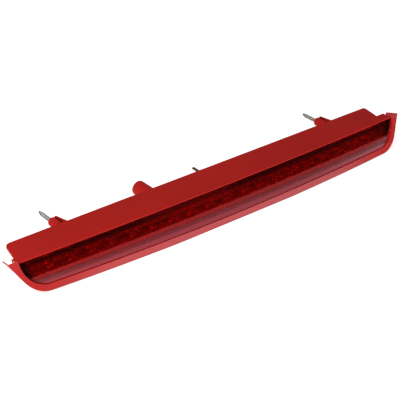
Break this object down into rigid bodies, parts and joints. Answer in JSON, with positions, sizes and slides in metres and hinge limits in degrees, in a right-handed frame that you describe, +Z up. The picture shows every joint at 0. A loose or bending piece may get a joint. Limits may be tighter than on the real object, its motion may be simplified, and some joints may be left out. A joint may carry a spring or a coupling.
{
  "type": "third brake light",
  "caption": "High-mounted third brake light: long bowed red lamp with a winged bezel, light-emitting diodes behind a red lens, two mounting studs, a locating pin and a plug socket.",
  "frame": {"origin": "midway between the two mounting studs, on their axes, in the plane where the stud towers end and the vehicle's panel sits", "axes": "+X along the lamp, +Y along the studs towards the vehicle, -Y the lit side, +Z up"},
  "size_m": [0.64, 0.119, 0.0431],
  "materials": {
    "red_moulding": "matte",
    "red_gloss": "gloss",
    "red_lens": "gloss",
    "seal_rubber": "matte",
    "clear_optic": "gloss",
    "mask_dark": "matte",
    "bright_reflector": "polished",
    "board_green": "satin",
    "led_red": "gloss",
    "tinned_lead": "satin",
    "ceramic_black": "matte",
    "can_aluminium": "satin",
    "connector_black": "matte",
    "screw_zinc": "satin",
    "stud_zinc": "satin",
    "pin_steel": "satin",
    "vent_black": "matte"
  },
  "bodies": {
    "root": {"housing": "red_moulding", "bezel": "red_gloss", "outer_lens": "red_lens", "lens_seal": "seal_rubber", "inner_optic": "clear_optic", "inner_mask": "mask_dark", "reflector": "bright_reflector", "circuit_board": "board_green", "leds": "led_red", "led_pins": "tinned_lead", "resistors": "ceramic_black", "diodes": "ceramic_black", "capacitor": "can_aluminium", "regulator": "ceramic_black", "terminal_blades": "tinned_lead", "connector_insert": "connector_black", "board_screws": "screw_zinc", "reflector_screws": "screw_zinc", "bezel_screws": "screw_zinc", "stud_left": "stud_zinc", "stud_right": "stud_zinc", "locating_pin": "pin_steel", "vent_cap": "vent_black"}
  },
  "joints": []
}
